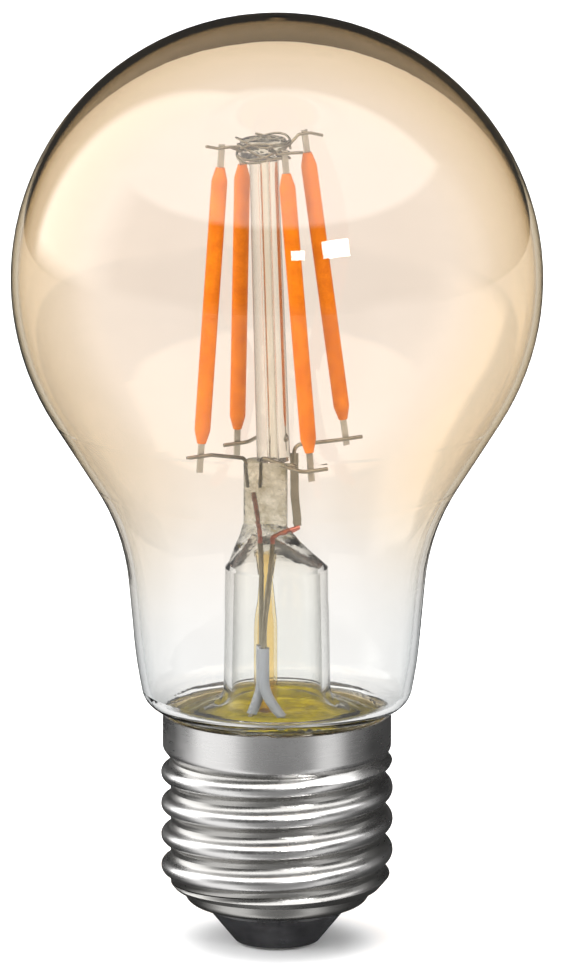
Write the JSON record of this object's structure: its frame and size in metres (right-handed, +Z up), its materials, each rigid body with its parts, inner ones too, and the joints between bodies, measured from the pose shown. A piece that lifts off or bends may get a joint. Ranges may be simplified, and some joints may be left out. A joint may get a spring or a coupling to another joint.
{
  "type": "filament lamp",
  "caption": "Amber globe lamp with a screw cap, glowing filament rods on a glass stem, and its driver and radio inside the cap.",
  "frame": {"origin": "middle of the centre contact's face, on the lamp's axis", "axes": "+Z up the lamp's axis to the top of the globe, -Y is the front, +X is to the right seen from the front"},
  "size_m": [0.06, 0.06, 0.107],
  "materials": {
    "nickel_shell": "satin",
    "black_glass": "gloss",
    "tinned_contact": "satin",
    "solder": "satin",
    "amber_glass": "gloss",
    "stem_clear_glass": "gloss",
    "bead_glass": "gloss",
    "phosphor": "matte",
    "strip_steel": "satin",
    "nickel_wire": "satin",
    "sleeve_fabric": "matte",
    "copper_seal": "satin",
    "cement": "matte",
    "board_laminate": "satin",
    "capacitor_can": "satin",
    "ferrite": "matte",
    "copper_winding": "satin",
    "black_component": "satin",
    "component_coat": "satin",
    "paper_sleeve": "matte",
    "wire_jacket": "satin"
  },
  "bodies": {
    "root": {"bridge_rectifier": "black_component", "cap_insulator": "black_glass", "cement_plug": "cement", "cement_ring": "cement", "centre_contact": "tinned_contact", "chip_resistors": "black_component", "choke_core": "ferrite", "choke_winding": "copper_winding", "column_bead": "bead_glass", "contact_solder": "solder", "crown_wire_1": "nickel_wire", "crown_wire_2": "nickel_wire", "crown_wire_3": "nickel_wire", "crown_wire_4": "nickel_wire", "driver_board": "board_laminate", "driver_chip": "black_component", "driver_sleeve": "paper_sleeve", "electrolytic_capacitor": "capacitor_can", "exhaust_tube": "stem_clear_glass", "feed_wire_1": "nickel_wire", "feed_wire_2": "nickel_wire", "feed_wire_3": "nickel_wire", "feed_wire_4": "nickel_wire", "filament_1": "phosphor", "filament_2": "phosphor", "filament_3": "phosphor", "filament_4": "phosphor", "filament_strip_1": "strip_steel", "filament_strip_2": "strip_steel", "filament_strip_3": "strip_steel", "filament_strip_4": "strip_steel", "film_capacitor": "component_coat", "fuse_resistor": "component_coat", "glass_envelope": "amber_glass", "lead_ribbon": "nickel_wire", "lead_sleeve_left": "sleeve_fabric", "lead_sleeve_right": "sleeve_fabric", "live_wire": "wire_jacket", "neutral_wire": "wire_jacket", "outer_lead_left": "nickel_wire", "outer_lead_right": "nickel_wire", "radio_board": "board_laminate", "radio_shield": "capacitor_can", "screw_shell": "nickel_shell", "seal_wire_left": "copper_seal", "seal_wire_right": "copper_seal", "stem_glass": "stem_clear_glass", "support_column": "stem_clear_glass"}
  },
  "joints": []
}
